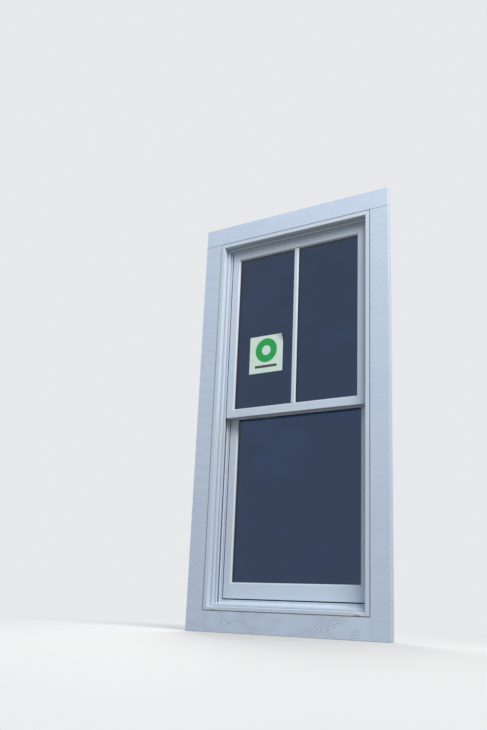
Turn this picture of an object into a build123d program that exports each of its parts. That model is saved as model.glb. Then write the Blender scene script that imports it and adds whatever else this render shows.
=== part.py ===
from build123d import *
import os
from math import sqrt

# Double-hung sash window with its exterior casing, in millimetres.
# X runs to the right seen from outdoors, +Y into the building, +Z up.
# The origin is the centre of the nail fin's corner slots, on the plane where
# the fin lies on the wall sheathing.

# Overall size of the extruded frame, without its nail fin
frame_width = 791.0
frame_height = 1723.0

# Casing boards around the frame
board_wide = 89.0
board_thick = 25.4
board_gap = 2.0
board_ease = 1.2

# Nail fin and its slots
fin_reach = 35.0
fin_thick = 1.6
slot_long = 25.0
slot_wide = 5.0
slot_from_corner = 95.0
slots_across = 5
slots_up = 11

# Section of the head and jambs, inwards from the frame's outer edge
nose_wide = 18.0
step_wide = 12.0
lip_wide = 10.0
pocket_depth = 35.0
nose_deep = 28.0
step_deep = 13.0
lip_thick = 2.0
rib_thick = 3.0
rib_tall = 5.0
web = 2.2
nose_round = 1.2

# Section of the sill, upwards from the frame's bottom edge
sill_nose_tall = 14.0
sill_step_low = 17.0
sill_step_tall = 9.0
sill_slope_low = 28.0
sill_slope_high = 40.0
sill_seat = 46.5
sill_dam_tall = 60.0
cope_clear = 0.2

# Weep slots in the sill nose
weep_long = 20.0
weep_tall = 4.0
weep_from_nose = 33.0
weep_cover_margin = 2.5
weep_cover_thick = 1.8
weep_cover_bevel = 0.9

# Sashes
sash_thick = 32.0
sash_front_play = 2.0
sash_rib_play = 3.0
sash_stop_play = 2.0
sash_side_play = 7.5
sash_head_play = 3.0
sash_sill_play = 5.5
stile_wide = 38.5
top_rail_tall = 43.0
meeting_rail_tall = 40.0
check_rail_tall = 38.0
bottom_rail_tall = 68.0
meeting_share = 0.4971
check_overlap = 0.5
travel_end_gap = 29.0
sash_round = 1.0

# Glazing
bead_wide = 14.0
bead_deep = 10.0
bead_bevel_wide = 5.0
bead_bevel_deep = 7.0
glass_thick = 3.0
glass_gap = 10.0
glass_edge_play = 3.0
spacer_wide = 8.0
spacer_inset = 1.5

# Bars on the upper glass
bar_wide = 23.0
bar_outer_tall = 7.0
bar_inner_tall = 5.5
bar_bevel = 4.0
bar_edge_share = 0.33
bar_end_play = 0.2

# Label on the upper left pane
label_size = 179.0
label_thick = 0.25
label_right_of_middle = 11.0
label_below_middle = 123.0

# Interlock of the meeting rails
hook_reach = 7.5
hook_thick = 2.0
hook_leg_thick = 2.5
upper_hook_low = 9.5
upper_hook_tall = 9.0
lower_hook_deep = 15.5
lower_hook_tall = 8.5
hook_notch = 54.0

# Lift rail on the lower sash
lift_reach = 14.0
lift_thick = 3.0
lift_height = 45.0
lift_bead = 2.5

# Tilt latches
latch_long = 50.0
latch_wide = 12.0
latch_thick = 7.4
latch_play = 0.3
latch_throw = 6.3
latch_travel = 7.0
latch_neck_wide = 7.4
latch_neck_long = 24.0
latch_neck_from_edge = 20.0
latch_from_back = 10.0
latch_below_head = 15.0
latch_tab_proud = 2.5
latch_bevel = 4.4
latch_end_room = 2.0

# Balances in the jambs
balance_slot = 12.0
jamb_wall = 3.0
pocket_wall = 2.5
carrier_long = 88.0
carrier_wide = 32.0
carrier_play = 0.6
carrier_tongue_long = 30.0
carrier_tongue_play = 0.5
carrier_cheek = 7.5
carrier_floor = 40.0
carrier_back = 4.0
pivot_above_sash = 30.0
pivot_above_carrier = 18.0
pivot_in_carrier = 20.0
pivot_in_stile = 20.0
pivot_wide = 8.0
pivot_tall = 5.0
pivot_play = 0.1
pivot_bevel = 1.0
coil_radius = 11.0
coil_bore = 5.0
coil_wide = 14.0
coil_play = 0.3
tape_wide = 12.0
tape_thick = 0.6
tape_off_wall = 0.2
anchor_tall = 20.0
anchor_wide = 18.0
anchor_deep = 6.0
anchor_above_carrier = 16.0
anchor_bevel = 1.5

# Weatherstrips
pile_thick = 5.0
pile_from_front = 5.0
pile_end_low = 60.0
pile_end_high = 40.0
pile_play = 1.0
bulb_wide = 6.0
bulb_play = 0.3
bulb_end = 45.0
bulb_round_share = 0.45

# Sash lock and keeper
lock_from_front = 9.0
cam_radius = 15.2
cam_rim = 2.2
cam_web_thick = 3.0
cam_rim_tall = 6.5
cam_lift = 2.5
cam_half_angle = 50.0
spindle_radius = 4.0
spindle_play = 0.05
housing_long = 64.0
housing_deep = 29.0
housing_tall = 15.0
housing_roof = 4.0
housing_front_play = 1.0
housing_ease = 2.5
lever_long = 46.0
lever_wide = 13.0
lever_tip_wide = 9.0
lever_thick = 4.5
lever_round = 1.1
lever_gap = 0.3
keeper_long = 46.0
keeper_plate = 2.0
keeper_low = 24.0
keeper_tall = 26.0
keeper_lip = 2.0
keeper_lip_gap = 0.3
keeper_lip_above_web = 0.5
keeper_sash_play = 1.0
lock_room_play = 1.0

# Places across the wall, from the wall plane
face_y = -(fin_thick + board_thick)
step_y = face_y + nose_deep
lip_y = step_y + step_deep
upper_y = lip_y + lip_thick + sash_front_play
rib_y = upper_y + sash_thick + sash_rib_play
lower_y = rib_y + rib_thick + sash_rib_play
stop_y = lower_y + sash_thick + sash_stop_play
room_y = stop_y + rib_thick

# Places inwards from the frame's outer edge
step_in = nose_wide + step_wide
lip_in = step_in + lip_wide
rib_in = pocket_depth + rib_tall
sash_in = pocket_depth + sash_side_play

# Places up the window
half_width = frame_width / 2
bottom_z = -frame_height / 2
top_z = frame_height / 2
meeting_z = bottom_z + meeting_share * frame_height
glass_back = bead_deep + 2 * glass_thick + glass_gap

bottom_up = (Align.CENTER, Align.CENTER, Align.MIN)


def face_of(points):
    """Flat face inside a closed run of points."""
    return make_face(Polyline(*points, close=True))


def box_between(low, high):
    """Box with opposite corners low and high."""
    size = [b - a for a, b in zip(low, high)]
    return Pos(*low) * Box(*size, align=(Align.MIN,) * 3)


def rectangle(low, high):
    """Flat rectangle with opposite corners low and high."""
    (a, c), (b, d) = low, high
    return face_of([(a, c), (b, c), (b, d), (a, d)])


def upright_prism(points, low_y, high_y):
    """Outline drawn in X and Z, carried through the wall from low_y to high_y."""
    plane = Plane(origin=(0, high_y, 0), x_dir=(1, 0, 0), z_dir=(0, -1, 0))
    return extrude(plane * face_of(points), amount=high_y - low_y)


def run_up(section, x, low_z, high_z):
    """Left upright: the section's first axis runs to +X from x."""
    return extrude(Pos(x, 0, low_z) * section, amount=high_z - low_z)


def run_across(section, z, reach, downwards):
    """Rail from -reach to +reach, its section measured down or up from z."""
    if downwards:
        plane = Plane(origin=(-reach, 0, z), x_dir=(0, 0, -1), z_dir=(1, 0, 0))
    else:
        plane = Plane(origin=(reach, 0, z), x_dir=(0, 0, 1), z_dir=(-1, 0, 0))
    return extrude(plane * section, amount=2 * reach)


def mitred(solid, outer_a, inner_a, outer_b, inner_b, low_y, high_y):
    """Part of the solid between two cut lines, each through an outer and an inner corner."""
    def beyond(start, end):
        return tuple(e + 4 * (e - s) for s, e in zip(start, end))
    outline = [beyond(inner_a, outer_a), beyond(inner_b, outer_b),
               beyond(outer_b, inner_b), beyond(outer_a, inner_a)]
    return solid & upright_prism(outline, low_y - 1, high_y + 1)


def mirrored(solid):
    """The same piece on the window's other side."""
    return mirror(solid, about=Plane.YZ)


def spread(half_span, count):
    """Slot places from -half_span to +half_span, evenly spaced."""
    return [-half_span + 2 * half_span * i / (count - 1) for i in range(count)]


# Frame


def jamb_outline(grow=0.0):
    """Solid outline of the head and jamb section, grown sideways for a cope."""
    nose, step, lip = nose_wide + grow, step_in + grow, lip_in + grow
    pocket, rib = pocket_depth + grow, rib_in + grow
    return [
        (0, face_y), (nose, face_y), (nose, step_y), (step, step_y), (step, lip_y - grow),
        (lip, lip_y - grow), (lip, lip_y + lip_thick + grow), (pocket, lip_y + lip_thick + grow),
        (pocket, rib_y - grow), (rib, rib_y - grow), (rib, rib_y + rib_thick + grow),
        (pocket, rib_y + rib_thick + grow), (pocket, stop_y - grow), (rib, stop_y - grow),
        (rib, room_y), (0, room_y),
    ]


def balance_chambers():
    """Low and high Y of the two chambers that the balances run in."""
    middle = rib_y + rib_thick / 2
    return [(lip_y + lip_thick, middle - web / 2), (middle + web / 2, room_y - jamb_wall)]


def rounded_nose(section, corners):
    """The section with its outdoor nose corners eased."""
    near = [v for v in section.vertices()
            if any(abs(v.X - u) + abs(v.Y - y) < 0.01 for u, y in corners)]
    return fillet(near, nose_round)


def jamb_section():
    """Head and jamb section: nose, step, lip, two tracks and the chambers in them."""
    section = rounded_nose(face_of(jamb_outline()), [(nose_wide, face_y), (step_in, step_y)])
    section -= rectangle((web, face_y + web), (nose_wide - web, -web))
    section -= rectangle((web, step_y + web), (step_in - web, lip_y))
    for low_y, high_y in balance_chambers():
        section -= rectangle((jamb_wall, low_y), (pocket_depth - pocket_wall, high_y))
    return section


def fin_section():
    """Nail fin, from the frame's outer edge outwards."""
    return rectangle((-fin_reach, -fin_thick), (0, 0))


def frame_corner(side, end):
    """Outer and inner corner of the frame's mitre, side and end each -1 or 1."""
    outer = (side * half_width, end * frame_height / 2)
    inner = (outer[0] - side * lip_in, outer[1] - end * lip_in)
    return outer, inner


def fin_slots(places, upright):
    """Slots through the fin, long along it."""
    turn = 90 if upright else 0
    slot = extrude(Plane.XZ.offset(-1) * Rot(0, 0, turn) * SlotOverall(slot_long, slot_wide),
                   amount=fin_thick + 2)
    return [Pos(x, 0, z) * slot for x, z in places]


def make_jamb():
    """Left jamb, with balance slots in its track floors and its nail fin."""
    body = run_up(jamb_section(), -half_width, bottom_z, top_z)
    for front in (upper_y, lower_y):
        middle = front + sash_thick / 2
        body -= box_between(
            (-half_width + pocket_depth - pocket_wall - 1, middle - balance_slot / 2, bottom_z - 1),
            (-half_width + pocket_depth + 1, middle + balance_slot / 2, top_z + 1))
    fin = run_up(fin_section(), -half_width, bottom_z - fin_reach, top_z + fin_reach)
    top = frame_corner(-1, 1)
    foot = frame_corner(-1, -1)
    level = (foot[0], (foot[1][0], bottom_z))
    body = mitred(body, *level, *top, face_y, room_y)
    fin = mitred(fin, *foot, *top, face_y, room_y)
    ends = frame_height / 2 - slot_from_corner
    places = [(-half_width - fin_reach / 2, z) for z in spread(ends, slots_up)]
    return body + fin - fin_slots(places, True)


def make_head():
    """Head of the jambs' section, mitred to them, with its nail fin and no balance slots."""
    reach = half_width + fin_reach
    head = run_across(jamb_section(), top_z, reach, True)
    head += run_across(fin_section(), top_z, reach, True)
    head = mitred(head, *frame_corner(-1, 1), *frame_corner(1, 1), face_y, room_y)
    ends = half_width - slot_from_corner
    places = [(x, top_z + fin_reach / 2) for x in spread(ends, slots_across)]
    return head - fin_slots(places, False)


def sill_section():
    """Sill section: nose, step, sloped outer track, seat for the lower sash and room-side dam."""
    step_high = sill_step_low + sill_step_tall
    riser_y = lower_y - sash_stop_play
    outline = face_of([
        (0, face_y), (sill_nose_tall, face_y), (sill_step_low, step_y), (step_high, step_y),
        (sill_slope_low, lip_y), (sill_slope_high, riser_y), (sill_seat, riser_y),
        (sill_seat, stop_y), (sill_dam_tall, stop_y), (sill_dam_tall, room_y), (0, room_y),
    ])
    section = rounded_nose(outline, [
        (sill_nose_tall, face_y), (step_high, step_y), (sill_seat, riser_y)])
    section -= rectangle((web, face_y + web), (sill_nose_tall - web, -web))
    section -= rectangle((web, step_y + web), (step_high - web, lip_y - web / 2))
    section -= face_of([
        (web, lip_y + web / 2), (sill_slope_low - web, lip_y + web / 2),
        (sill_slope_high - web, riser_y - web), (web, riser_y - web)])
    return section - rectangle((web, riser_y + web), (sill_seat - web, stop_y - web))


def make_sill():
    """Sill, coped between the jambs, with weep slots and its nail fin."""
    body = run_across(sill_section(), bottom_z, half_width, False)
    cope = run_up(face_of(jamb_outline(cope_clear)), -half_width, bottom_z - 1, top_z)
    body = body - cope - mirrored(cope)
    fin = run_across(fin_section(), bottom_z, half_width + fin_reach, False)
    fin = mitred(fin, *frame_corner(-1, -1), *frame_corner(1, -1), face_y, room_y)
    for x in weep_places():
        body -= box_between((x - weep_long / 2, face_y - 1, bottom_z + sill_nose_tall / 2 - weep_tall / 2),
                            (x + weep_long / 2, face_y + web + 1,
                             bottom_z + sill_nose_tall / 2 + weep_tall / 2))
    ends = half_width - slot_from_corner
    places = [(x, bottom_z - fin_reach / 2) for x in spread(ends, slots_across)]
    return body + fin - fin_slots(places, False)


def weep_places():
    """X of the two weep slots."""
    x = half_width - nose_wide - weep_from_nose
    return (-x, x)


def make_weep_cover(x):
    """Hood over a weep slot, open underneath."""
    half, tall = weep_long / 2 + weep_cover_margin, weep_tall / 2 + weep_cover_margin
    z = bottom_z + sill_nose_tall / 2
    hood = box_between((x - half, face_y - weep_cover_thick, z - tall), (x + half, face_y, z + tall))
    hood = chamfer(hood.faces().sort_by(Axis.Y)[0].edges(), weep_cover_bevel)
    return hood - box_between((x - weep_long / 2, face_y - weep_cover_thick / 2, z - tall - 1),
                              (x + weep_long / 2, face_y + 1, z + weep_tall / 2))


# Casing


def eased(board):
    """Board with its outdoor edges eased."""
    return chamfer(board.faces().sort_by(Axis.Y)[0].edges(), board_ease)


def make_casing():
    """Head board over the legs, and the apron between them."""
    inner_x, inner_z = half_width + board_gap, frame_height / 2 + board_gap
    outer_x, outer_z = inner_x + board_wide, inner_z + board_wide
    front, back = face_y, -fin_thick
    leg = eased(box_between((-outer_x, front, -outer_z), (-inner_x, back, inner_z)))
    return {
        "casing_head": eased(box_between((-outer_x, front, inner_z), (outer_x, back, outer_z))),
        "casing_leg_left": leg,
        "casing_leg_right": mirrored(leg),
        "casing_apron": eased(box_between((-inner_x, front, -outer_z), (inner_x, back, -inner_z))),
    }


# Sashes


class Sash:
    """Place and member widths of one sash."""

    def __init__(self, front, low, high, bottom_rail, top_rail):
        self.front, self.low, self.high = front, low, high
        self.bottom_rail, self.top_rail = bottom_rail, top_rail
        self.half = half_width - sash_in
        self.middle = front + sash_thick / 2

    def corner(self, side, end):
        """Outer and inner corner where a stile meets a rail."""
        z, rail = (self.high, self.top_rail) if end > 0 else (self.low, self.bottom_rail)
        outer = (side * self.half, z)
        return outer, (outer[0] - side * stile_wide, z - end * rail)

    def cut(self, solid, first, second):
        """Solid mitred at two of the sash's corners."""
        return mitred(solid, *self.corner(*first), *self.corner(*second),
                      self.front - sash_thick, self.front + 2 * sash_thick)

    def ring(self, stile_section, bottom_section, top_section):
        """Left, right, bottom and top pieces of these sections, mitred at the corners."""
        at_front = Pos(0, self.front, 0)
        left = run_up(at_front * stile_section, -self.half, self.low, self.high)
        left = self.cut(left, (-1, -1), (-1, 1))
        bottom = run_across(at_front * bottom_section, self.low, self.half, False)
        top = run_across(at_front * top_section, self.high, self.half, True)
        return [left, mirrored(left), self.cut(bottom, (-1, -1), (1, -1)),
                self.cut(top, (-1, 1), (1, 1))]

    def pane_size(self):
        """Half width, low and high Z of the glass."""
        cover = bead_wide - glass_edge_play
        return (self.half - stile_wide + cover, self.low + self.bottom_rail - cover,
                self.high - self.top_rail + cover)


upper = Sash(upper_y, meeting_z, top_z - pocket_depth - sash_head_play,
             meeting_rail_tall, top_rail_tall)
lower = Sash(lower_y, bottom_z + sill_seat + sash_sill_play,
             meeting_z - check_overlap + check_rail_tall, bottom_rail_tall, check_rail_tall)
sash_travel = top_z - pocket_depth - travel_end_gap - lower.high


def sash_section(wide):
    """Stile or rail section: hollow box, rebate for the glass and inner glazing leg."""
    solid_wide = wide - bead_wide
    section = face_of([(0, 0), (solid_wide, 0), (solid_wide, glass_back), (wide, glass_back),
                       (wide, sash_thick), (0, sash_thick)])
    section = fillet([v for v in section.vertices() if v.X < 0.01 or v.X > wide - 0.01
                      and v.Y > sash_thick - 0.01], sash_round)
    middle = sash_thick / 2
    for low_y, high_y in ((web, middle - web / 2), (middle + web / 2, sash_thick - web)):
        section -= rectangle((web, low_y), (solid_wide - web, high_y))
    return section


def bead_section(wide):
    """Glazing bead, flush with the sash face and bevelled towards the glass."""
    return face_of([(wide - bead_wide, 0), (wide - bead_bevel_wide, 0), (wide, bead_bevel_deep),
                    (wide, bead_deep), (wide - bead_wide, bead_deep)])


def upper_hook():
    """Interlock leg on the room side of the meeting rail, turned up."""
    low, reach = upper_hook_low, sash_thick + hook_reach
    return (rectangle((low, sash_thick - web), (low + hook_leg_thick, reach))
            + rectangle((low, reach - hook_thick), (low + upper_hook_tall, reach)))


def lower_hook():
    """Interlock leg on the outdoor side of the check rail, turned down."""
    low = lower_hook_deep
    return (rectangle((low, -hook_reach), (low + hook_leg_thick, web))
            + rectangle((low, -hook_reach), (low + lower_hook_tall, hook_thick - hook_reach)))


def lift_leg():
    """Finger lift along the room side of the bottom rail."""
    end = sash_thick + lift_reach
    leg = rectangle((lift_height, sash_thick - web), (lift_height + lift_thick, end))
    return leg + Pos(lift_height + lift_thick / 2, end) * Circle(lift_bead)


def make_glazing(sash, name):
    """Two panes, the spacer between them and four beads."""
    half, low, high = sash.pane_size()
    outer_y = sash.front + bead_deep
    inner_y = outer_y + glass_thick + glass_gap
    inset = spacer_inset
    spacer = box_between((-half + inset, outer_y + glass_thick, low + inset),
                         (half - inset, inner_y, high - inset))
    hole = inset + spacer_wide
    spacer -= box_between((-half + hole, outer_y, low + hole), (half - hole, inner_y + 1, high - hole))
    beads = sash.ring(bead_section(stile_wide), bead_section(sash.bottom_rail),
                      bead_section(sash.top_rail))
    pieces = {
        f"{name}_glass_outer": box_between((-half, outer_y, low), (half, outer_y + glass_thick, high)),
        f"{name}_glass_inner": box_between((-half, inner_y, low), (half, inner_y + glass_thick, high)),
        f"{name}_glass_spacer": spacer,
    }
    for side, bead in zip(("left", "right", "bottom", "top"), beads):
        pieces[f"{name}_bead_{side}"] = bead
    return pieces


# Tilt latches, drawn with the sash's left edge at X 0 and the rail's surface at Z 0


def latch_pocket():
    """Room for a latch in its rail, open at the sash's edge."""
    low, high = -(web + latch_thick + 2 * latch_play), -web
    half, neck = latch_wide / 2 + latch_play, latch_neck_wide / 2 + latch_play
    back = latch_long + latch_travel + latch_end_room
    start = latch_neck_from_edge - latch_play
    end = start + latch_neck_long + latch_travel + 2 * latch_play
    return (box_between((-latch_long, -half, low), (back, half, high))
            + box_between((start, -neck, high - 1), (end, neck, 1)))


def make_latch(proud):
    """Latch slide with its bevelled bolt and its finger piece, proud of the rail or flush."""
    low = -(web + latch_thick + latch_play)
    high = -(web + latch_play)
    body = box_between((-latch_throw, -latch_wide / 2, low), (latch_long, latch_wide / 2, high))
    tip = body.edges().filter_by(Axis.Z).sort_by(Axis.X)[:2].sort_by(Axis.Y)[0]
    body = chamfer(tip, latch_bevel)
    start = latch_neck_from_edge
    finger = box_between((start, -latch_neck_wide / 2, high),
                         (start + latch_neck_long, latch_neck_wide / 2, proud))
    return body + finger


def latch_places(sash, on_top):
    """Placing of the left latch: on top of the rail, or on its room-side face."""
    if on_top:
        return Plane(origin=(-sash.half, sash.front + sash_thick - latch_from_back, sash.high),
                     x_dir=(1, 0, 0), z_dir=(0, 0, 1))
    return Plane(origin=(-sash.half, sash.front + sash_thick, sash.high - latch_below_head),
                 x_dir=(1, 0, 0), z_dir=(0, 1, 0))


# Balances


def chamber_x(inwards):
    """X of a place in the left jamb, inwards from the frame's outer edge."""
    return -half_width + inwards


tape_in = jamb_wall + tape_off_wall
coil_in = tape_in + tape_thick + coil_play + coil_radius
carrier_in = tape_in + tape_thick + carrier_play
carrier_end = pocket_depth - pocket_wall - carrier_play


def pivot_z(sash):
    """Height of the pivot bars."""
    return sash.low + pivot_above_sash


def carrier_z(sash):
    """Height of a carrier's underside."""
    return pivot_z(sash) - pivot_above_carrier


def pivot_box(sash, play):
    """Left pivot bar, or its hole when play is given."""
    z = pivot_z(sash)
    return box_between(
        (chamber_x(carrier_end - pivot_in_carrier) - play, sash.middle - pivot_wide / 2 - play,
         z - pivot_tall / 2 - play),
        (-sash.half + pivot_in_stile + play, sash.middle + pivot_wide / 2 + play,
         z + pivot_tall / 2 + play))


def make_pivot(sash):
    """Left pivot bar, seated in the stile."""
    bar = pivot_box(sash, 0)
    return chamfer(bar.faces().sort_by(Axis.X)[0].edges(), pivot_bevel)


def make_carrier(sash):
    """Left balance carrier: pivot seat below, cheeks for the coil above, tongue in the slot."""
    low = carrier_z(sash)
    y, half = sash.middle, carrier_wide / 2
    block = box_between((chamber_x(carrier_in), y - half, low),
                        (chamber_x(carrier_end), y + half, low + carrier_long))
    inner = half - carrier_cheek
    block -= box_between((chamber_x(carrier_in) - 1, y - inner, low + carrier_floor),
                         (chamber_x(carrier_end - carrier_back), y + inner, low + carrier_long + 1))
    tongue = balance_slot / 2 - carrier_tongue_play
    block += box_between((chamber_x(carrier_end), y - tongue, low),
                         (chamber_x(pocket_depth - carrier_tongue_play), y + tongue,
                          low + carrier_tongue_long))
    return block - pivot_box(sash, pivot_play)


def make_coil(sash):
    """Left wound spring, resting in its carrier."""
    z = carrier_z(sash) + carrier_floor + coil_play + coil_radius
    place = Pos(chamber_x(coil_in), sash.middle, z) * Rot(90, 0, 0)
    return place * (Cylinder(coil_radius, coil_wide) - Cylinder(coil_bore, coil_wide + 2))


def anchor_z(sash, rise):
    """Underside of the anchor, clear of the carrier at the top of its travel."""
    return carrier_z(sash) + carrier_long + rise + anchor_above_carrier


def make_tape(sash, rise):
    """Left end of the spring strip, from the coil up to its anchor."""
    coil_z = carrier_z(sash) + carrier_floor + coil_play + coil_radius
    return box_between((chamber_x(tape_in), sash.middle - tape_wide / 2, coil_z),
                       (chamber_x(tape_in + tape_thick), sash.middle + tape_wide / 2,
                        anchor_z(sash, rise) + anchor_tall))


def make_anchor(sash, rise):
    """Left anchor block on the chamber wall, with the strip's groove in its back."""
    low = anchor_z(sash, rise)
    y, half, groove = sash.middle, anchor_wide / 2, tape_wide / 2 + tape_off_wall
    block = box_between((chamber_x(jamb_wall), y - half, low),
                        (chamber_x(jamb_wall + anchor_deep), y + half, low + anchor_tall))
    block = chamfer(block.faces().sort_by(Axis.X)[-1].edges(), anchor_bevel)
    return block - box_between((chamber_x(jamb_wall) - 1, y - groove, low - 1),
                               (chamber_x(tape_in + tape_thick + tape_off_wall), y + groove,
                                low + anchor_tall + 1))


def both_sides(solid):
    """Left and right piece as one group."""
    return Compound(children=[solid, mirrored(solid)])


# Sash lock


lock_y = lower_y + lock_from_front
lock_z = lower.high
cam_z = lock_z + cam_lift
web_top = cam_z + cam_web_thick


def sector(radius, half_angle, low_z, high_z):
    """Slice of a disc about the lock's axis, pointing indoors."""
    disc = Pos(0, lock_y, low_z) * Cylinder(radius, high_z - low_z, align=bottom_up)
    reach = 2 * radius
    side = Pos(0, lock_y, 0) * Rot(0, 0, half_angle) * Plane.XY
    other = Pos(0, lock_y, 0) * Rot(0, 0, -half_angle) * Plane.XY
    left = extrude(side.offset(low_z - 1) * rectangle((-reach, 0), (0, reach)), amount=high_z - low_z + 2)
    right = extrude(other.offset(low_z - 1) * rectangle((0, 0), (reach, reach)), amount=high_z - low_z + 2)
    middle = box_between((-reach, lock_y, low_z - 1), (reach, lock_y + reach, high_z + 1))
    return disc & middle - left - right


def make_lock_housing():
    """Rounded shell on the check rail, hollow for the cam and open towards the upper sash."""
    front = lower_y + housing_front_play
    back = front + housing_deep
    plan = SlotOverall(housing_long, housing_deep)
    shell = extrude(Pos(0, (front + back) / 2, lock_z) * plan, amount=housing_tall)
    shell = fillet(shell.faces().sort_by(Axis.Z)[-1].edges(), housing_ease)
    room = Pos(0, lock_y, lock_z - 1) * Cylinder(cam_radius + lock_room_play,
                                                 housing_tall - housing_roof + 1, align=bottom_up)
    hole = Pos(0, lock_y, lock_z) * Cylinder(spindle_radius + spindle_play, housing_tall + 1,
                                             align=bottom_up)
    return shell - room - hole


def make_lock_lever():
    """Lever, spindle and cam, turned as one; the cam points indoors when unlocked."""
    roof = lock_z + housing_tall
    lever_z = roof + lever_gap
    web_disc = sector(cam_radius, cam_half_angle, cam_z, web_top)
    rim = sector(cam_radius, cam_half_angle, cam_z, cam_z + cam_rim_tall)
    rim -= Pos(0, lock_y, cam_z - 1) * Cylinder(cam_radius - cam_rim, cam_rim_tall + 2,
                                                align=bottom_up)
    spindle = Pos(0, lock_y, cam_z) * Cylinder(spindle_radius, lever_z + lever_thick - cam_z,
                                               align=bottom_up)
    ends = Sketch([Circle(lever_wide / 2), Pos(lever_long, 0) * Circle(lever_tip_wide / 2)])
    plan = make_hull(ends.edges())
    lever = extrude(Pos(0, lock_y, lever_z) * plan, amount=lever_thick)
    lever = fillet(lever.faces().sort_by(Axis.Z)[-1].edges(), lever_round)
    return web_disc + rim + spindle + lever


def make_keeper():
    """Catch on the upper sash's room-side face, with a curved lip that the cam's rim passes behind."""
    back = upper_y + sash_thick
    low = upper.low + keeper_low
    half = keeper_long / 2
    plate = box_between((-half, back, low), (half, back + keeper_plate, low + keeper_tall))
    lip_radius = cam_radius - cam_rim - keeper_lip_gap
    ring_low, ring_high = web_top + keeper_lip_above_web, low + keeper_tall
    ring = (Pos(0, lock_y, ring_low) * Cylinder(lip_radius, ring_high - ring_low, align=bottom_up)
            - Pos(0, lock_y, ring_low - 1) * Cylinder(lip_radius - keeper_lip, ring_high - ring_low + 2,
                                                      align=bottom_up))
    reach = lower_y - keeper_sash_play
    lip_half = sqrt(lip_radius**2 - (lock_y - reach) ** 2)
    roof_low = cam_z + cam_rim_tall + keeper_lip_gap
    roof = box_between((-lip_half, back, roof_low), (lip_half, reach, ring_high))
    bite = Pos(0, lock_y, roof_low - 1) * Cylinder(lip_radius - keeper_lip,
                                                   ring_high - roof_low + 2, align=bottom_up)
    lip = ring & box_between((-half, back, ring_low), (half, reach, ring_high))
    return plate + (roof - bite) + lip


# Weatherstrips and label


def make_pile(sash):
    """Left pile strip, from the stile's edge towards the track floor."""
    y = sash.front + pile_from_front
    return box_between((chamber_x(pocket_depth + pile_play), y, sash.low + pile_end_low),
                       (-sash.half, y + pile_thick, sash.high - pile_end_high))


def make_bulb(sash, tall, at_head):
    """Rounded strip across the sash, along its top or bottom edge."""
    half = sash.half - bulb_end
    height = tall - bulb_play
    body = Rectangle(bulb_wide, height, align=(Align.CENTER, Align.MIN))
    body = fillet(body.vertices().sort_by(Axis.Y)[-2:], min(bulb_wide, height) * bulb_round_share)
    up = 1 if at_head else -1
    z = sash.high if at_head else sash.low
    plane = Plane(origin=(-half, sash.middle, z), x_dir=(0, up, 0), z_dir=(1, 0, 0))
    return extrude(plane * body, amount=2 * half)


def make_bar(sash, pane_y, tall):
    """Upright bar on the glass, bevelled on both sides; tall is negative outdoors."""
    low = sash.low + sash.bottom_rail + bar_end_play
    high = sash.high - sash.top_rail - bar_end_play
    half, top, edge = bar_wide / 2, bar_wide / 2 - bar_bevel, tall * bar_edge_share
    section = face_of([(-half, 0), (half, 0), (half, edge), (top, tall), (-top, tall), (-half, edge)])
    return extrude(Pos(0, pane_y, low) * section, amount=high - low)


def make_label():
    """Square film label on the outdoor face of the upper left pane."""
    x = -(bar_wide / 2 + upper.half - stile_wide) / 2 + label_right_of_middle
    z = (upper.low + upper.bottom_rail + upper.high - upper.top_rail) / 2 - label_below_middle
    pane, half = upper.front + bead_deep, label_size / 2
    return box_between((x - half, pane - label_thick, z - half), (x + half, pane, z + half))


def make_upper_sash():
    """Every piece that moves with the upper sash."""
    sections = (sash_section(stile_wide), sash_section(meeting_rail_tall) + upper_hook(),
                sash_section(top_rail_tall))
    left, right, meeting_rail, top_rail = upper.ring(*sections)
    place = latch_places(upper, False)
    pocket = place * latch_pocket()
    pivot_hole = pivot_box(upper, pivot_play)
    latch = place * make_latch(-latch_play)
    top_rail -= [pocket, mirrored(pocket)]
    meeting_rail -= [pivot_hole, mirrored(pivot_hole)]
    left -= [pocket, pivot_hole]
    pane = upper.front + bead_deep
    pieces = {
        "upper_stile_left": left,
        "upper_stile_right": mirrored(left),
        "upper_meeting_rail": meeting_rail,
        "upper_top_rail": top_rail,
        "upper_bar_outer": make_bar(upper, pane, -bar_outer_tall),
        "upper_bar_inner": make_bar(upper, upper.front + glass_back, bar_inner_tall),
        "upper_label": make_label(),
        "upper_keeper": make_keeper(),
        "upper_latch_left": latch,
        "upper_latch_right": mirrored(latch),
        "upper_pile_strips": both_sides(make_pile(upper)),
        "upper_head_bulb": make_bulb(upper, sash_head_play, True),
    }
    pieces.update(make_glazing(upper, "upper"))
    return pieces


def make_lower_sash():
    """Every piece that moves with the lower sash."""
    sections = (sash_section(stile_wide), sash_section(bottom_rail_tall) + lift_leg(),
                sash_section(check_rail_tall) + lower_hook())
    left, right, bottom_rail, check_rail = lower.ring(*sections)
    place = latch_places(lower, True)
    pocket = place * latch_pocket()
    pivot_hole = pivot_box(lower, pivot_play)
    latch = place * make_latch(latch_tab_proud)
    notch = box_between((-hook_notch / 2, lower_y - hook_reach - 1, bottom_z),
                        (hook_notch / 2, lower_y, top_z))
    check_rail -= [pocket, mirrored(pocket), notch]
    bottom_rail -= [pivot_hole, mirrored(pivot_hole)]
    left -= [pocket, pivot_hole]
    pieces = {
        "lower_stile_left": left,
        "lower_stile_right": mirrored(left),
        "lower_bottom_rail": bottom_rail,
        "lower_check_rail": check_rail,
        "lock_housing": make_lock_housing(),
        "lock_lever": make_lock_lever(),
        "lower_latch_left": latch,
        "lower_latch_right": mirrored(latch),
        "lower_pile_strips": both_sides(make_pile(lower)),
        "lower_sill_bulb": make_bulb(lower, sash_sill_play, False),
    }
    pieces.update(make_glazing(lower, "lower"))
    return pieces


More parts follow.
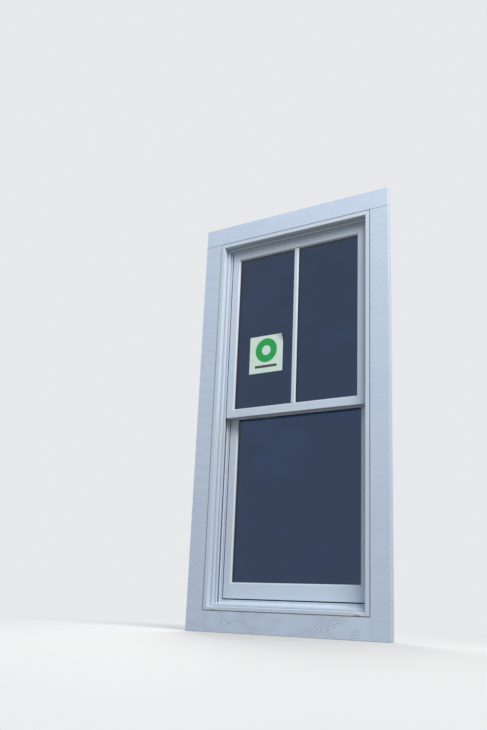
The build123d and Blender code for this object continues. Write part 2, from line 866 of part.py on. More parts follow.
def make_frame():
    """Frame members and what is fastened to them."""
    jamb = make_jamb()
    covers = [make_weep_cover(x) for x in weep_places()]
    anchors = [make_anchor(upper, 0), make_anchor(lower, sash_travel)]
    return {
        "frame_jamb_left": jamb,
        "frame_jamb_right": mirrored(jamb),
        "frame_head": make_head(),
        "frame_sill": make_sill(),
        "sill_weep_covers": Compound(children=covers),
        "balance_anchors": Compound(children=anchors + [mirrored(a) for a in anchors]),
        "upper_balance_tapes": both_sides(make_tape(upper, 0)),
        "lower_balance_tapes": both_sides(make_tape(lower, sash_travel)),
    }


def make_balances(sash, name):
    """Pivot bars, carriers and wound springs of one sash."""
    pieces = {}
    for piece, solid in (("pivot", make_pivot(sash)), ("carrier", make_carrier(sash)),
                         ("coil", make_coil(sash))):
        pieces[f"{name}_{piece}_left"] = solid
        pieces[f"{name}_{piece}_right"] = mirrored(solid)
    return pieces


nodes = {}
nodes.update(make_casing())
nodes.update(make_frame())
nodes.update(make_upper_sash())
nodes.update(make_balances(upper, "upper"))
nodes.update(make_lower_sash())
nodes.update(make_balances(lower, "lower"))

os.makedirs("parts", exist_ok=True)
for name, solid in nodes.items():
    export_step(solid, f"parts/{name}.step")
print(len(nodes), "nodes")
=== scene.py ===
from collections import namedtuple

import bmesh
import bpy
import numpy as np
from bpy.props import FloatProperty, FloatVectorProperty, IntProperty, PointerProperty
from mathutils import Matrix, Vector


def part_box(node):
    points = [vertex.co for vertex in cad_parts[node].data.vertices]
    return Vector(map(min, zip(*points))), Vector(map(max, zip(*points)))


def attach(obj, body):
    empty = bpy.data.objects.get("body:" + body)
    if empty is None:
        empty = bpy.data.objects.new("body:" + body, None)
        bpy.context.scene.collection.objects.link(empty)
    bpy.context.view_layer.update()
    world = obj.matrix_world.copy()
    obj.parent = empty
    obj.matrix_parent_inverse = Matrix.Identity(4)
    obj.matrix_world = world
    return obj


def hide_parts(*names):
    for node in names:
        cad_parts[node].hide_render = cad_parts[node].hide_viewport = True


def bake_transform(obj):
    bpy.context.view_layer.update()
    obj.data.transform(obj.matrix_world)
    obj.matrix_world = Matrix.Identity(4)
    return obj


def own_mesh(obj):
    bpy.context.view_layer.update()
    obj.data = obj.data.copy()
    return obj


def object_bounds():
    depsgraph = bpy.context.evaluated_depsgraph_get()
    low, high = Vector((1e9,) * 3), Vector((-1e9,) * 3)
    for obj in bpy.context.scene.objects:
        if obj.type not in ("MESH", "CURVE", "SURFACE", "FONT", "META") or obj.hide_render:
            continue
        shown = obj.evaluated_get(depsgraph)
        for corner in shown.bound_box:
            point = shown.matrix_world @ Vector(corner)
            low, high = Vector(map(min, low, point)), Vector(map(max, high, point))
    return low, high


bl_info = {
    "name": "Sash window dressing",
    "version": (1, 0, 0),
    "blender": (4, 5, 0),
    "location": "3D View > Sidebar > Window",
    "description": "Surfaces, seals, hardware and finishes of a double-hung sash window",
    "category": "Object",
}

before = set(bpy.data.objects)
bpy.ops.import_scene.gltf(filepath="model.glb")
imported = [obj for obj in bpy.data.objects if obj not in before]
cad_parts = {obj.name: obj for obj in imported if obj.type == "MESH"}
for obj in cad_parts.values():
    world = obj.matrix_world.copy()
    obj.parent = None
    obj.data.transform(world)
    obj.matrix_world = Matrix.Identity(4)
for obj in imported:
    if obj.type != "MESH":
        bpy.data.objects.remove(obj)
CAD_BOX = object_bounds()
SASHES = ("upper", "lower")
MM = 0.001
ALONG_X, ALONG_Y, ALONG_Z = np.eye(3)
# Faces that meet at a wider angle than this show a sharp edge
SHARP = np.radians(40)
# How far the nail fin stands out past the frame
FIN = 35 * MM
# Dust on the boards, the plastics and the rubber
DUST = (0.42, 0.40, 0.36)
# Kinds of the shader groups' sockets that aren't plain values
KINDS = {"Colour": "Color", "Second": "Color", "Dust": "Color", "Grime": "Color",
         "Stretch": "Vector", "Normal": "Vector"}


# Properties


def colour(name, description, value):
    """Colour property with a swatch."""
    return FloatVectorProperty(name=name, description=description, default=value, size=3,
                               subtype="COLOR", min=0.0, max=1.0)


def length(name, description, value):
    """Length property, shown with its unit."""
    return FloatProperty(name=name, description=description, default=value, min=0.0, unit="LENGTH",
                         precision=5)


def share(name, description, value):
    """Plain share from 0 to 1."""
    return FloatProperty(name=name, description=description, default=value, min=0.0, max=1.0,
                         subtype="FACTOR")


def whole(name, description, value, least, most):
    """Whole number between two limits."""
    return IntProperty(name=name, description=description, default=value, min=least, max=most)


def strength(name, description, value, unit="NONE"):
    """Strength or power from 0 up."""
    return FloatProperty(name=name, description=description, default=value, min=0.0, unit=unit)


class CasingSettings(bpy.types.PropertyGroup):
    """Embossed boards around the frame."""

    # The boards are white: the blue-grey of this paint colour is painted sky shade
    paint: colour("Paint", "White paint on the casing boards", (0.60, 0.71, 0.885))
    # Painted shade in the grooves and a painted dark outline along the edges; also the second tone of
    # the paint's clouding and fibres
    shade: colour("Recess shade", "Paint in the grooves of the grain", (0.38, 0.45, 0.62))
    # Painted shadow of the gap and of the sill's nose, along the board's edge next to the frame
    joint: colour("Joint", "Dirt along the edge next to the frame", (0.10, 0.105, 0.115))
    joint_width: length("Joint width", "How far that dirt reaches over the board", 0.0022)
    roughness: share("Roughness", "Roughness of the paint film", 0.42)
    grain_depth: length("Grain depth", "Depth of the grooves on the apron", 0.00045)
    head_share: share("Head share", "How much of that grain the head board shows", 0.5)
    leg_depth: length("Leg depth", "Depth of the ripples on the legs", 0.00012)
    grain_pitch: length("Grain pitch", "Distance between grooves across the board", 0.0088)
    repeat: length("Repeat", "Distance after which the embossing roller repeats", 0.52)
    ease: length("Eased edge", "How far a board's edges are eased", 0.0014)
    grain_slant: share("Grain slant", "How fast the figure runs along a board", 0.34)


class VinylSettings(bpy.types.PropertyGroup):
    """Extruded frame and sash members."""

    # The vinyl is white: the blue-grey of this colour is painted sky shade
    tone: colour("Vinyl", "White of the extrusions", (0.585, 0.685, 0.83))
    warm: colour("Warm tint", "Second tone in the vinyl's faint clouding", (0.62, 0.69, 0.78))
    dust: colour("Dust", "Dust that settles on faces that look up", (0.46, 0.44, 0.40))
    # Painted shade in the inner corners, laid by ambient occlusion
    grime: colour("Grime", "Grime in the inner corners", (0.13, 0.125, 0.11))
    grime_share: share("Grime share", "How much grime the inner corners hold", 0.7)
    grime_reach: length("Grime reach", "How far grime comes out of a corner", 0.009)
    roughness: share("Roughness", "Roughness of the extruded skin", 0.34)
    line_depth: length("Die lines", "Depth of the faint lines along an extrusion", 0.000003)
    seam_width: length("Weld seam", "Width of the seam at a welded corner", 0.0011)


class GlassSettings(bpy.types.PropertyGroup):
    """Insulating glass, its seals and the film label."""

    # The panes are clear: this dark blue tint is painted shade of the room behind and a painted sky
    # reflection
    tint: colour("Tint", "Colour of what is seen through one pane", (0.065, 0.150, 0.270))
    seal: colour("Seal", "Soft lip between bead and glass", (0.33, 0.345, 0.36))
    seal_width: length("Seal width", "How far the soft lip shows on the glass", 0.0011)
    film: colour("Film", "Label film", (0.69, 0.86, 0.79))
    mark: colour("Mark", "Plain mark on the label", (0.006, 0.36, 0.075))
    bar: colour("Bar", "Dark bar on the label", (0.055, 0.06, 0.06))
    curl: length("Curl", "How far the label's loose corner stands off the glass", 0.010)


class SealSettings(bpy.types.PropertyGroup):
    """Pile and bulb seals."""

    pile: colour("Pile", "Woven pile", (0.20, 0.205, 0.21))
    rubber: colour("Rubber", "Bulb seals", (0.045, 0.045, 0.047))
    backing: length("Backing", "Thickness of the pile's backing strip", 0.0012)
    tuft_pitch: length("Tuft pitch", "Distance between tufts along a strip", 0.0011)
    tuft_rows: whole("Tuft rows", "Rows of tufts across a strip", 4, 1, 8)
    bulb_wall: length("Bulb wall", "Wall of the hollow bulb", 0.0007)


class HardwareSettings(bpy.types.PropertyGroup):
    """Lock, latches, balances and screws."""

    enamel: colour("Enamel", "White enamel of the lock", (0.71, 0.745, 0.785))
    moulded: colour("Moulded", "White of the moulded latches and weep hoods", (0.64, 0.70, 0.79))
    carrier: colour("Carrier", "Grey of the balance carriers", (0.10, 0.105, 0.115))
    steel: colour("Steel", "Rolled spring steel", (0.56, 0.57, 0.58))
    zinc: colour("Zinc", "Zinc plate", (0.62, 0.63, 0.61))
    coil_turns: whole("Coil turns", "Turns of a wound spring", 9, 3, 20)
    coil_bore: length("Coil bore", "Radius of the hole in a wound spring", 0.005)
    strip: length("Strip", "Thickness of the balance strips", 0.0006)
    ribs: whole("Ribs", "Finger ribs on a latch", 6, 1, 12)
    screw_radius: length("Screw radius", "Radius of a screw head", 0.0032)


class StudioSettings(bpy.types.PropertyGroup):
    """Floor, light and camera."""

    floor: colour("Floor", "Pale floor that the camera, gloss and glass see", (0.61, 0.61, 0.61))
    bounce: colour("Bounce", "Floor that lights the undersides", (0.161, 0.140, 0.105))
    surround: colour("Surround", "Pale surround that the camera sees", (0.80, 0.81, 0.83))
    sky: colour("Sky", "Colour of the even light", (0.77, 0.885, 1.0))
    ambient: strength("Ambient", "Strength of the even light", 0.50)
    key: strength("Key", "Power of the key lamp", 410.0, "POWER")
    side: strength("Side", "Power of the side lamp", 16.0, "POWER")
    focal: FloatProperty(name="Focal length", description="Lens", default=41.33, min=1.0,
                         unit="CAMERA")


class WindowSettings(bpy.types.PropertyGroup):
    """Everything that a user would change on the window."""

    casing: PointerProperty(type=CasingSettings)
    vinyl: PointerProperty(type=VinylSettings)
    glass: PointerProperty(type=GlassSettings)
    seals: PointerProperty(type=SealSettings)
    hardware: PointerProperty(type=HardwareSettings)
    studio: PointerProperty(type=StudioSettings)


# CAD nodes


Box = namedtuple("Box", "low high middle size")


def box_of(node):
    """Box of a CAD node: its lowest and highest corner, its middle and its size."""
    low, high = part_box(node)
    return Box(low, high, (low + high) / 2, high - low)


def pair(name):
    """Names of the left and the right one of two like nodes."""
    return [f"{name}_left", f"{name}_right"]


def assign(material, *names):
    """Gives CAD nodes their material."""
    for name in names:
        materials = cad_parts[name].data.materials
        materials.clear()
        materials.append(material)


# Surfaces


def grid_faces(rows, columns, first=0, round_rows=False, round_columns=False):
    """Quads of a grid whose point (i, j) has the number first + i * columns + j.

    A round direction also joins its last line to its first.
    """
    i, j = np.meshgrid(np.arange(rows - (not round_rows)), np.arange(columns - (not round_columns)),
                       indexing="ij")
    down, right = (i + 1) % rows, (j + 1) % columns
    corners = [i * columns + j, down * columns + j, down * columns + right, i * columns + right]
    return first + np.stack(corners, axis=-1).reshape(-1, 4)


def disc(radii, count):
    """X, Y and faces of rings of points around a middle point, which comes first."""
    angle = np.linspace(0, 2 * np.pi, count, endpoint=False)
    x, y = (np.append(0.0, np.outer(radii, way)) for way in (np.cos(angle), np.sin(angle)))
    ring = 1 + np.arange(count)
    cap = np.stack([np.zeros(count, int), ring, np.roll(ring, -1)], axis=-1)
    return x, y, [cap, grid_faces(len(radii), count, first=1, round_columns=True)]


def fan(loop, flip=False):
    """One flat face over a loop of point numbers."""
    loop = list(loop)
    return [loop[::-1] if flip else loop]


def new_object(name, points, faces, material):
    """Mesh object at the origin. Faces come in parts, each with rows of one length."""
    mesh = bpy.data.meshes.new(name)
    listed = [list(map(int, f)) for part in faces for f in part]
    mesh.from_pydata(np.asarray(points, float).tolist(), [], listed)
    mesh.materials.append(material)
    made = bpy.data.objects.new(name, mesh)
    bpy.context.scene.collection.objects.link(made)
    return made


def make_piece(name, points, faces, body, slot, material, smooth=True):
    """Piece with its faces pointing outwards, riding on a body if one is named.

    smooth is one truth value or one per face.
    """
    piece = new_object(name, points, faces, material)
    mesh = piece.data
    mesh.polygons.foreach_set("use_smooth", np.broadcast_to(smooth, len(mesh.polygons)).astype(bool))
    shell = bmesh.new()
    shell.from_mesh(mesh)
    bmesh.ops.recalc_face_normals(shell, faces=shell.faces)
    shell.to_mesh(mesh)
    shell.free()
    mesh.set_sharp_from_angle(angle=SHARP)
    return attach(piece, body) if body else piece


def mark(piece, name, values):
    """Keeps a number at each point of a piece, for its material to read."""
    piece.data.attributes.new(name, "FLOAT", "POINT").data.foreach_set("value", values)


def oblong(half_wide, half_tall):
    """Profile of a rectangle about zero."""
    return np.array([(-half_wide, -half_tall), (half_wide, -half_tall), (half_wide, half_tall),
                     (-half_wide, half_tall)])


def carried(profile, path, across, up):
    """Points and faces of a closed profile carried along a path, with both ends closed.

    Point (i, j) = path[i] + profile[j, 0] * across[i] + profile[j, 1] * up[i]. Across and up may
    each be one direction for the whole path.
    """
    across, up = (np.broadcast_to(way, path.shape)[:, None] for way in (across, up))
    points = path[:, None] + profile[None, :, :1] * across + profile[None, :, 1:] * up
    rows, columns = points.shape[:2]
    faces = [grid_faces(rows, columns, round_columns=True), fan(range(columns), True),
             fan(range((rows - 1) * columns, rows * columns))]
    return points.reshape(-1, 3), faces


def upright_strip(box, x, thick, rows=2):
    """Flat strip at this x, over the height and the depth of a box."""
    z = np.linspace(box.low.z, box.high.z, rows)
    path = np.stack([np.full_like(z, x), np.full_like(z, box.middle.y), z], axis=-1)
    return carried(oblong(thick / 2, box.size.y / 2), path, ALONG_X, ALONG_Y)


def joined(parts):
    """Several (points, faces) as one, the later faces renumbered."""
    points, faces, first = [], [], 0
    for own_points, own_faces in parts:
        points.append(own_points)
        faces += [np.asarray(part) + first for part in own_faces]
        first += len(own_points)
    return np.concatenate(points), faces


def waves(seed, along, across, stretch_along, stretch_across, count=9):
    """Smooth irregular field about -1 to 1.

    Sum over k of sin(a_k * along / stretch_along + b_k * across / stretch_across + phase_k), with
    seeded a, b and phase, divided by the square root of half the count.
    """
    draw = np.random.default_rng(seed)
    a, b, phase = draw.normal(size=count), draw.normal(size=count), draw.uniform(0, 2 * np.pi, count)
    angle = (along[..., None] * a / stretch_along + across[..., None] * b / stretch_across) + phase
    return np.sin(angle).sum(axis=-1) / np.sqrt(count / 2)


def cedar_height(along, across, width, settings, seed):
    """Height of an embossed cathedral grain from -1 (groove) to 0, for places on a level board.

    Rings are nested round-nosed wedges: q = sqrt(v^2 + nose^2) + slant * s, where v is the way from
    the heart and s the way along, shortened and lengthened in turn over one repeat of the roller.
    Slow waves bend both. The groove is -(0.5 + 0.5 cos(2 pi q / pitch))^2 and fades in and out.
    """
    pitch, roller_radius = settings.grain_pitch, settings.repeat / (2 * np.pi)
    nose, wander, wobble, swing = 0.9 * pitch, 0.16, 1.6 * MM, 0.75
    heart = width * (0.5 + wander * waves(seed, along, across * 0, 0.35, 1.0))
    v = across - heart + wobble * waves(seed + 1, along, across, 0.07, 0.03)
    s = along - swing * roller_radius * np.sin(along / roller_radius + seed)
    q = np.sqrt(v ** 2 + nose ** 2) + settings.grain_slant * s
    groove = (0.5 + 0.5 * np.cos(2 * np.pi * q / pitch)) ** 2
    pressed = 0.7 + 0.35 * waves(seed + 3, along, across, 0.03, 0.012)
    return -groove * np.clip(pressed, 0.15, 1.0)


def sawn_height(along, across, seed):
    """Height of a rough-sawn leg from -1 to 0: short ripples across the board, uneven along it.

    -(0.5 + 0.3 * (w1 + w2)) limited to that range, with w1 and w2 seeded waves about 6 and 10 mm
    long and 75 and 40 mm wide.
    """
    fine = waves(seed, along, across, 0.0009, 0.012) + waves(seed + 1, along, across, 0.0016, 0.006)
    return -np.clip(0.5 + 0.3 * fine, 0, 1)


def steps_between(low, high, ease, step):
    """Grid lines from low to high with one at each eased edge."""
    count = max(2, int(round((high - low - 2 * ease) / step)))
    return np.concatenate([[low], np.linspace(low + ease, high - ease, count + 1), [high]])


def board_sides(numbers):
    """Faces of a board's four sides, from the rim of its face to its four back corners.

    The corners' numbers follow those of the face. Along a side, the first half of the rim goes to
    the one corner and the rest to the next, with one face between the two halves.
    """
    sides, first = [], numbers.size
    for k, run in enumerate((numbers[:, 0], numbers[-1, :], numbers[::-1, -1], numbers[0, ::-1])):
        here, there, half = first + k, first + (k + 1) % 4, len(run) // 2
        behind = np.where(np.arange(len(run) - 1) < half, here, there)
        sides += [np.stack([run[:-1], run[1:], behind], axis=-1), [[run[half], there, here]]]
    return sides


def embossed_board(node, depth, settings, seed):
    """Points, faces, smooth marks and paint marks of a casing board with grain on its outdoor face.

    Outdoor face: y = front + max(0, ease - edge) - depth * grain * fade, where edge is the distance
    to the nearest edge, grain runs from -1 in a groove to 0, and fade rises from 0 at the eased edge
    to 1 two eases further in. The sides and the back are flat. The groove mark is 1 in a groove and
    at the outermost edge, and the paint turns it into painted shade in the grooves and a painted dark
    outline along the edges. The mark for the painted shadow next to the frame falls from 1 at the long
    edge next to the frame to 0 over its width, and a leg has none below the frame.
    """
    low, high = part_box(node)
    level = high.x - low.x > high.z - low.z
    ease, front, back = settings.ease, low.y, high.y
    start, end = (low.x, high.x) if level else (low.z, high.z)
    foot, top = (low.z, high.z) if level else (low.x, high.x)
    step_along, step_across = (2.2 * MM, 1.0 * MM) if level else (1.2 * MM, 3.0 * MM)
    along, across = np.meshgrid(steps_between(start, end, ease, step_along),
                                steps_between(foot, top, ease, step_across), indexing="ij")
    edge = np.minimum(np.minimum(along - start, end - along), np.minimum(across - foot, top - across))
    fade = np.clip((edge - ease) / (2 * ease), 0, 1)
    if level:
        grain = cedar_height(along - start, across - foot, top - foot, settings, seed)
    else:
        grain = sawn_height(along, across, seed)
    y = front + np.maximum(0, ease - edge) - depth * grain * fade
    x, z = (along, across) if level else (across, along)
    points = np.stack([x, y, z], axis=-1).reshape(-1, 3)
    corners = [(start, foot), (end, foot), (end, top), (start, top)]
    backs = np.array([(a, back, b) if level else (b, back, a) for a, b in corners])
    first = len(points)
    sides = board_sides(np.arange(first).reshape(along.shape))
    faces = [grid_faces(*along.shape), *sides, fan(range(first, first + 4))]
    inner = np.zeros((along.shape[0] - 1, along.shape[1] - 1), bool)
    inner[1:-1, 1:-1] = True
    smooth = np.append(inner.ravel(), np.zeros(sum(map(len, sides)) + 1, bool))
    # The long edge nearer the origin is the one next to the frame
    to_frame = across - foot if abs(foot) < abs(top) else top - across
    # Painted shadow along the edge next to the frame
    joint = np.clip(1 - (to_frame - 0.5 * ease) / settings.joint_width, 0, 1)
    if not level:
        joint *= along > box_of("casing_apron").high.z
    # The groove mark drives painted shade in the grooves and a painted dark outline along the edges
    marks = {"groove": np.where(edge < 0.5 * ease, 1.0, -grain * fade), "joint": joint}
    marks = {name: np.append(values.ravel(), np.zeros(4)) for name, values in marks.items()}
    return np.concatenate([points, backs]), faces, smooth, marks


# Node trees


def fill(tree, socket, value):
    """Links a socket to the one that feeds it, or sets its value. A colour gets full alpha."""
    if isinstance(value, bpy.types.NodeSocket):
        tree.links.new(value, socket)
    else:
        socket.default_value = (*value[:3], 1.0) if socket.type == "RGBA" else value


def add(tree, kind, inputs=None, **settings):
    """New node: settings are its own properties, inputs its sockets' values or what feeds them."""
    made = tree.nodes.new(kind)
    for name, value in settings.items():
        setattr(made, name, value)
    for name, value in (inputs or {}).items():
        fill(tree, made.inputs[name], value)
    return made


def calc(tree, operation, *values, clamp=False):
    """Math node's result."""
    return add(tree, "ShaderNodeMath", dict(enumerate(values)), operation=operation,
               use_clamp=clamp).outputs[0]


def times(tree, first, second):
    """Product of two values."""
    return calc(tree, "MULTIPLY", first, second)


def minus(tree, first, second):
    """First value less the second."""
    return calc(tree, "SUBTRACT", first, second)


def away_from(tree, value, middle):
    """How far a value lies from a middle one."""
    return calc(tree, "ABSOLUTE", minus(tree, value, middle))


def distance(tree, vector, point):
    """How far a place lies from a point."""
    return add(tree, "ShaderNodeVectorMath", {0: vector, 1: point}, operation="DISTANCE").outputs[1]


def blend_colours(tree, factor, first, second):
    """Colour between first and second."""
    return add(tree, "ShaderNodeMix", {0: factor, 6: first, 7: second}, data_type="RGBA").outputs[2]


def ramp(tree, value, low, high):
    """0 below low, 1 above high, smooth between them."""
    return add(tree, "ShaderNodeMapRange", {0: value, 1: low, 2: high, 3: 0.0, 4: 1.0},
               interpolation_type="SMOOTHSTEP").outputs[0]


def speckle(tree, vector, scale, detail=3.0):
    """Noise from 0 to 1 on these coordinates."""
    return add(tree, "ShaderNodeTexNoise", {"Vector": vector, "Scale": scale, "Detail": detail,
                                            "Roughness": 0.55}).outputs["Fac"]


def object_place(tree):
    """Object coordinates, in metres of the row frame."""
    return add(tree, "ShaderNodeTexCoord").outputs["Object"]


def stretched(tree, vector, scale):
    """Coordinates scaled along each axis."""
    return add(tree, "ShaderNodeVectorMath", {0: vector, 1: scale}, operation="MULTIPLY").outputs[0]


def coordinates(tree, vector):
    """X, Y and Z of a vector."""
    return add(tree, "ShaderNodeSeparateXYZ", {0: vector}).outputs


def marked(tree, name):
    """Number that mark() keeps at the piece's points."""
    return add(tree, "ShaderNodeAttribute", attribute_name=name).outputs["Fac"]


def relief(tree, height, depth):
    """Normal of a surface with this relief."""
    return add(tree, "ShaderNodeBump", {"Height": height, "Distance": depth,
                                        "Strength": 1.0}).outputs[0]


def seen_rays(tree):
    """1 for rays from the camera and for those that gloss and glass send on, 0 for the rest."""
    path = add(tree, "ShaderNodeLightPath").outputs
    seen = calc(tree, "MAXIMUM", path["Is Camera Ray"], path["Is Transmission Ray"])
    return calc(tree, "MAXIMUM", seen, path["Is Glossy Ray"])


# Effects, each a shader group


def add_socket(group, label, way):
    """Socket on the outside of a group."""
    kind = "NodeSocket" + KINDS.get(label, "Float")
    group.interface.new_socket(label, in_out=way, socket_type=kind)


def placed(tree, effect, **given):
    """Outputs of an effect's shader group, placed with these inputs. The group is made once.

    The effect gets the group's tree and its inputs, and returns its outputs by name.
    """
    name = effect.__name__.replace("_", " ").capitalize()
    group = bpy.data.node_groups.get(name)
    if group is None:
        group = bpy.data.node_groups.new(name, "ShaderNodeTree")
        for label in given:
            add_socket(group, label, "INPUT")
        results = effect(group, group.nodes.new("NodeGroupInput").outputs)
        for label in results:
            add_socket(group, label, "OUTPUT")
        leave = group.nodes.new("NodeGroupOutput")
        for label, socket in results.items():
            group.links.new(socket, leave.inputs[label])
    return add(tree, "ShaderNodeGroup", given, node_tree=group).outputs


def clouding(tree, given):
    """Faint change of colour and roughness over a surface."""
    place = object_place(tree)
    wide = speckle(tree, place, given["Scale"])
    fine = speckle(tree, place, times(tree, given["Scale"], 7.0), detail=2.0)
    amount = times(tree, ramp(tree, wide, 0.3, 0.7), given["Amount"])
    spread = times(tree, minus(tree, fine, 0.5), given["Spread"])
    return {"Colour": blend_colours(tree, amount, given["Colour"], given["Second"]),
            "Roughness": calc(tree, "ADD", given["Roughness"], spread, clamp=True)}


def settled_dust(tree, given):
    """Dust on faces that look up, patchy, and rougher there."""
    normal = add(tree, "ShaderNodeNewGeometry").outputs["Normal"]
    patch = ramp(tree, speckle(tree, object_place(tree), 110.0, detail=5.0), 0.36, 0.74)
    upward = ramp(tree, coordinates(tree, normal)[2], 0.2, 0.95)
    mask = times(tree, times(tree, upward, patch), given["Amount"])
    return {"Colour": blend_colours(tree, mask, given["Colour"], given["Dust"]),
            "Roughness": calc(tree, "ADD", given["Roughness"], times(tree, mask, 0.6), clamp=True)}


def painted_corner_shade(tree, given):
    """Painted shade in a piece's own inner corners: darker where the piece itself shuts the surface in.
    """
    # Ambient occlusion of the piece itself gives the painted shade
    near = add(tree, "ShaderNodeAmbientOcclusion", {"Distance": given["Reach"]}, samples=4,
               only_local=True)
    shut = minus(tree, 1.0, near.outputs["AO"])
    mask = times(tree, ramp(tree, shut, 0.12, 0.55), given["Amount"])
    return {"Colour": blend_colours(tree, mask, given["Colour"], given["Grime"])}


def drawn_lines(tree, given):
    """Relief of fine lines that run one way: Stretch is small along them and large across."""
    height = speckle(tree, stretched(tree, object_place(tree), given["Stretch"]), 1.0, detail=2.0)
    return {"Normal": relief(tree, height, given["Depth"]), "Height": height}


def weld_seam(tree, given):
    """Mask of the seam across a mitred corner.

    With a = (Half - |x|) / Stile and b = |z - Edge| / Rail the seam is where a = b, both up to
    just over 1.
    """
    x, _, z = coordinates(tree, object_place(tree))
    a = calc(tree, "DIVIDE", minus(tree, given["Half"], calc(tree, "ABSOLUTE", x)), given["Stile"])
    b = calc(tree, "DIVIDE", away_from(tree, z, given["Edge"]), given["Rail"])
    apart = times(tree, away_from(tree, a, b), given["Stile"])
    near = minus(tree, 1.0, ramp(tree, apart, 0.0, times(tree, given["Width"], 0.7)))
    inside = calc(tree, "LESS_THAN", calc(tree, "MAXIMUM", a, b), 1.02)
    return {"Mask": times(tree, near, inside)}


# Materials


def feed(tree, surface, **values):
    """Links or sets the surface's inputs, named with underscores for spaces."""
    for label, value in values.items():
        fill(tree, surface.inputs[label.replace("_", " ")], value)


def new_material(name, **values):
    """Material, its node tree and its Principled BSDF, whose own sockets hold these values."""
    made = bpy.data.materials.new(name)
    made.use_nodes = True
    surface = made.node_tree.nodes["Principled BSDF"]
    feed(made.node_tree, surface, **values)
    return made, made.node_tree, surface


def scaled(tone, level):
    """Colour times a level."""
    return [level * part for part in tone]


def board_paint(name, level, settings):
    """Satin paint on an embossed board: painted shade in the grooves, fibres and brush marks in relief.

    A level board shows its long grain, an upright one the short ripples across it.
    """
    made, tree, surface = new_material(name, Specular_IOR_Level=0.5)
    if level:
        along, across = (14.0, 300.0, 420.0), (260.0, 300.0, 11.0)
        fibre_depth, brush_depth, groove_shade_share = 0.12 * MM, 0.03 * MM, 0.58
    else:
        along, across = (420.0, 300.0, 14.0), (11.0, 300.0, 260.0)
        fibre_depth, brush_depth, groove_shade_share = 0.05 * MM, 0.13 * MM, 0.22
    base = placed(tree, clouding, Colour=settings.paint, Second=settings.shade, Amount=0.1, Scale=7.0,
                  Roughness=settings.roughness, Spread=0.12)
    fibre = placed(tree, drawn_lines, Stretch=along, Depth=fibre_depth)
    brushed = placed(tree, drawn_lines, Stretch=across, Depth=brush_depth)
    normal = add(tree, "ShaderNodeMix", {0: 0.5, 4: fibre["Normal"], 5: brushed["Normal"]},
                 data_type="VECTOR").outputs[1]
    fibres = times(tree, ramp(tree, fibre["Height"], 0.55, 0.8), 0.15)
    # Painted shade in the grooves and a painted dark outline along the board's edges
    groove_shade = times(tree, ramp(tree, marked(tree, "groove"), 0.1, 0.9), groove_shade_share)
    tone = blend_colours(tree, fibres, base["Colour"], settings.shade)
    tone = blend_colours(tree, groove_shade, tone, settings.shade)
    # Painted shadow along the edge next to the frame
    tone = blend_colours(tree, times(tree, marked(tree, "joint"), 0.85), tone, settings.joint)
    dusted = placed(tree, settled_dust, Colour=tone, Dust=DUST, Amount=0.22,
                    Roughness=base["Roughness"])
    feed(tree, surface, Base_Color=dusted["Colour"], Roughness=dusted["Roughness"], Normal=normal)
    return made


def vinyl_skin(name, level, corners, settings, dust=0.035):
    """White vinyl: faint die lines along the extrusion, clouding, dust, painted shade in the inner
    corners and welded corners.

    A corner is its half width, its height, and how wide its stile and its rail are.
    """
    made, tree, surface = new_material(name, Specular_IOR_Level=0.5, Coat_Weight=0.12,
                                       Coat_Roughness=0.12)
    base = placed(tree, clouding, Colour=settings.tone, Second=settings.warm, Amount=0.6, Scale=3.0,
                  Roughness=settings.roughness, Spread=0.05)
    stretch = (6.0, 2400.0, 2400.0) if level else (2400.0, 2400.0, 6.0)
    normal = placed(tree, drawn_lines, Stretch=stretch, Depth=settings.line_depth)["Normal"]
    tone, seam = base["Colour"], None
    for half, edge, stile, rail in corners:
        found = placed(tree, weld_seam, Half=half, Edge=edge, Stile=stile, Rail=rail,
                       Width=settings.seam_width)["Mask"]
        seam = calc(tree, "MAXIMUM", seam, found) if seam else found
    if seam:
        tone = blend_colours(tree, times(tree, seam, 0.2), tone, (0.33, 0.34, 0.36))
        normal = add(tree, "ShaderNodeBump", {"Height": seam, "Distance": 0.4 * MM, "Strength": 0.7,
                                              "Normal": normal}, invert=True).outputs[0]
    dusted = placed(tree, settled_dust, Colour=tone, Dust=settings.dust, Amount=dust,
                    Roughness=base["Roughness"])
    # Painted shade in the piece's inner corners
    corner_shaded = placed(tree, painted_corner_shade, Colour=dusted["Colour"], Grime=settings.grime,
                    Amount=settings.grime_share, Reach=settings.grime_reach)
    feed(tree, surface, Base_Color=corner_shaded["Colour"], Roughness=dusted["Roughness"], Normal=normal)
    return made


def pane_glass(name, settings):
    """Tinted glass with faint smears; its dark blue tint is painted shade of the room behind and a
    painted sky reflection.
    """
    made, tree, surface = new_material(name, Transmission_Weight=1.0, IOR=1.52)
    smear = speckle(tree, stretched(tree, object_place(tree), (3.0, 3.0, 5.0)), 1.6, detail=6.0)
    tone = blend_colours(tree, ramp(tree, smear, 0.45, 0.9), settings.tint,
                         scaled(settings.tint, 1.25))
    feed(tree, surface, Base_Color=tone, Roughness=times(tree, ramp(tree, smear, 0.6, 0.9), 0.012))
    return made


def soft_plastic(name, tone, roughness, grit, scale, clouds=0.35):
    """Plain moulded or rubber skin with a fine grit."""
    made, tree, surface = new_material(name, Specular_IOR_Level=0.5)
    base = placed(tree, clouding, Colour=tone, Second=scaled(tone, 0.82), Amount=clouds, Scale=22.0,
                  Roughness=roughness, Spread=0.14)
    dusted = placed(tree, settled_dust, Colour=base["Colour"], Dust=DUST, Amount=0.1,
                    Roughness=base["Roughness"])
    feed(tree, surface, Base_Color=dusted["Colour"], Roughness=dusted["Roughness"],
         Normal=relief(tree, speckle(tree, object_place(tree), scale), grit))
    return made


